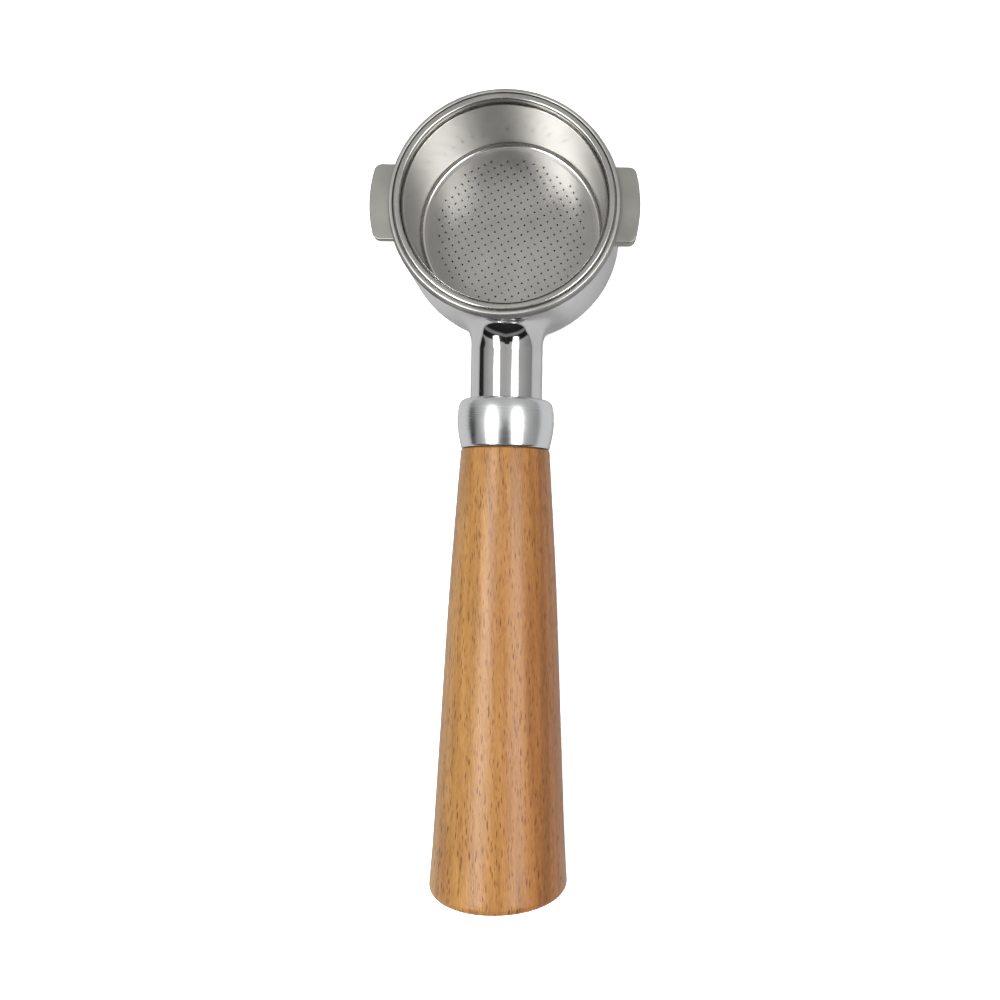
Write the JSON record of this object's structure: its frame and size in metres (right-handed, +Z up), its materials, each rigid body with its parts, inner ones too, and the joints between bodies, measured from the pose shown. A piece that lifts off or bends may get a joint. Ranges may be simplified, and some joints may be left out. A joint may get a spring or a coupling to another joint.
{
  "type": "portafilter",
  "caption": "Bottomless espresso portafilter: round metal ring with locking lugs, perforated filter basket, short neck, metal ferrule and a turned wooden handle.",
  "frame": {"origin": "centre of the base of the bounding box, on the table that the part rests on", "axes": "+Z up from the table, -Y from the ring towards the end of the handle, +X towards the lug on the right when seen from the handle"},
  "size_m": [0.081, 0.2438, 0.0423],
  "materials": {
    "body_chrome": "polished chrome plate on the ring and neck, fine satin on the rim and lugs",
    "basket_steel": "satin pressed stainless steel, matte floor",
    "spring_steel": "drawn wire",
    "zinc_hardware": "zinc plated",
    "ferrule_aluminium": "polished",
    "grip_beech": "clear gloss lacquer on beech",
    "insert_brass": "turned"
  },
  "bodies": {
    "portafilter": {"portafilter_body": "body_chrome", "basket_spring": "spring_steel", "handle_stud": "zinc_hardware", "stud_lock_washer": "zinc_hardware", "stud_jam_nut": "zinc_hardware"},
    "basket": {"filter_basket": "basket_steel"},
    "ferrule": {"ferrule": "ferrule_aluminium"},
    "grip": {"wooden_grip": "grip_beech", "grip_washer": "zinc_hardware", "threaded_insert": "insert_brass"}
  },
  "joints": [
    {"name": "basket_lift", "type": "slide", "parent": "portafilter", "child": "basket", "axis": [0, 0.0667, 0.9978], "range_m": [0, 0.032]},
    {"name": "ferrule_slide", "type": "slide", "parent": "portafilter", "child": "ferrule", "axis": [0, -0.9996, 0.0266], "range_m": [0, 0.0175]},
    {"name": "handle_unscrew", "type": "hinge", "parent": "ferrule", "child": "grip", "pos_m": [0, 0.08592, 0.01568], "axis": [0, -0.9996, 0.0266], "range_deg": [0, 3605]}
  ],
  "couplings": [
    {"joint": "handle_unscrew", "follows": "ferrule_slide", "rad_per_m": 3590.4}
  ]
}
